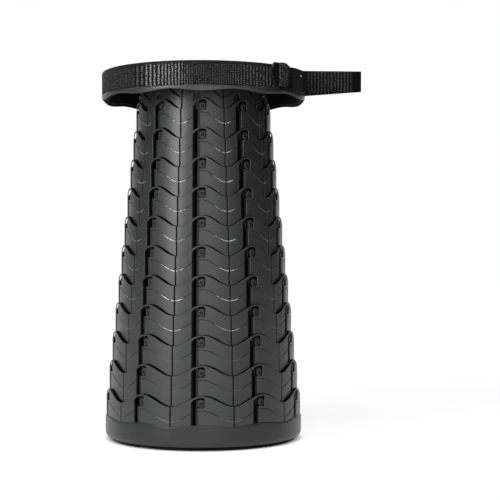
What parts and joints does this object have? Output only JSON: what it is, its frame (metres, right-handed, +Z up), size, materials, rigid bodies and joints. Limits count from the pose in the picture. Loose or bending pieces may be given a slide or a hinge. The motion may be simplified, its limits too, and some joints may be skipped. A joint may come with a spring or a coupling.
{
  "type": "telescopic folding stool",
  "caption": "Round folding stool whose tapering column of nested rings, with wavy edges and hook-shaped latches, slides down into a flat disc; belt and carry loop on the rim.",
  "frame": {"origin": "on the axis of the rings, at the flat underside of the base plate; the rubber feet reach 2.3 mm lower", "axes": "+Z up along the axis, +X towards the carry loop, -Y to the front of the picture"},
  "size_m": [0.322, 0.251, 0.4546],
  "materials": {
    "ring_plastic": "fine-grained moulded plastic, satin",
    "seat_plastic": "fine-grained moulded plastic, satin",
    "plate_plastic": "moulded plastic, matt",
    "cap_plastic": "smoother moulded plastic, satin",
    "webbing": "woven polyester webbing with upright ribs",
    "buckle_plastic": "moulded plastic, slight gloss",
    "foot_rubber": "matt rubber",
    "steel": "bright steel"
  },
  "bodies": {
    "base": {"base_ring": "ring_plastic", "base_plate": "plate_plastic", "base_screw_1": "steel", "base_screw_2": "steel", "base_screw_3": "steel", "base_screw_4": "steel", "base_screw_5": "steel", "foot_pad_01": "foot_rubber", "foot_pad_02": "foot_rubber", "foot_pad_03": "foot_rubber", "foot_pad_04": "foot_rubber", "foot_pad_05": "foot_rubber", "foot_pad_06": "foot_rubber", "foot_pad_07": "foot_rubber", "foot_pad_08": "foot_rubber", "foot_pad_09": "foot_rubber", "foot_pad_10": "foot_rubber"},
    "stage_02": {"ring_02": "ring_plastic"},
    "stage_03": {"ring_03": "ring_plastic"},
    "stage_04": {"ring_04": "ring_plastic"},
    "stage_05": {"ring_05": "ring_plastic"},
    "stage_06": {"ring_06": "ring_plastic"},
    "stage_07": {"ring_07": "ring_plastic"},
    "stage_08": {"ring_08": "ring_plastic"},
    "stage_09": {"ring_09": "ring_plastic"},
    "stage_10": {"ring_10": "ring_plastic"},
    "stage_11": {"ring_11": "ring_plastic"},
    "seat": {"ring_12": "ring_plastic", "seat_top": "seat_plastic", "finger_cap": "cap_plastic", "strap": "webbing", "carry_loop": "webbing", "slider_buckle": "buckle_plastic", "loop_rivet": "steel"}
  },
  "joints": [
    {"name": "stage_02_slide", "type": "slide", "parent": "base", "child": "stage_02", "axis": [0, 0, 1], "range_m": [-0.0348, 0]},
    {"name": "stage_03_slide", "type": "slide", "parent": "stage_02", "child": "stage_03", "axis": [0, 0, 1], "range_m": [-0.0348, 0]},
    {"name": "stage_04_slide", "type": "slide", "parent": "stage_03", "child": "stage_04", "axis": [0, 0, 1], "range_m": [-0.0348, 0]},
    {"name": "stage_05_slide", "type": "slide", "parent": "stage_04", "child": "stage_05", "axis": [0, 0, 1], "range_m": [-0.0348, 0]},
    {"name": "stage_06_slide", "type": "slide", "parent": "stage_05", "child": "stage_06", "axis": [0, 0, 1], "range_m": [-0.0348, 0]},
    {"name": "stage_07_slide", "type": "slide", "parent": "stage_06", "child": "stage_07", "axis": [0, 0, 1], "range_m": [-0.0348, 0]},
    {"name": "stage_08_slide", "type": "slide", "parent": "stage_07", "child": "stage_08", "axis": [0, 0, 1], "range_m": [-0.0348, 0]},
    {"name": "stage_09_slide", "type": "slide", "parent": "stage_08", "child": "stage_09", "axis": [0, 0, 1], "range_m": [-0.0348, 0]},
    {"name": "stage_10_slide", "type": "slide", "parent": "stage_09", "child": "stage_10", "axis": [0, 0, 1], "range_m": [-0.0348, 0]},
    {"name": "stage_11_slide", "type": "slide", "parent": "stage_10", "child": "stage_11", "axis": [0, 0, 1], "range_m": [-0.0348, 0]},
    {"name": "seat_slide", "type": "slide", "parent": "stage_11", "child": "seat", "axis": [0, 0, 1], "range_m": [-0.0348, 0]}
  ]
}
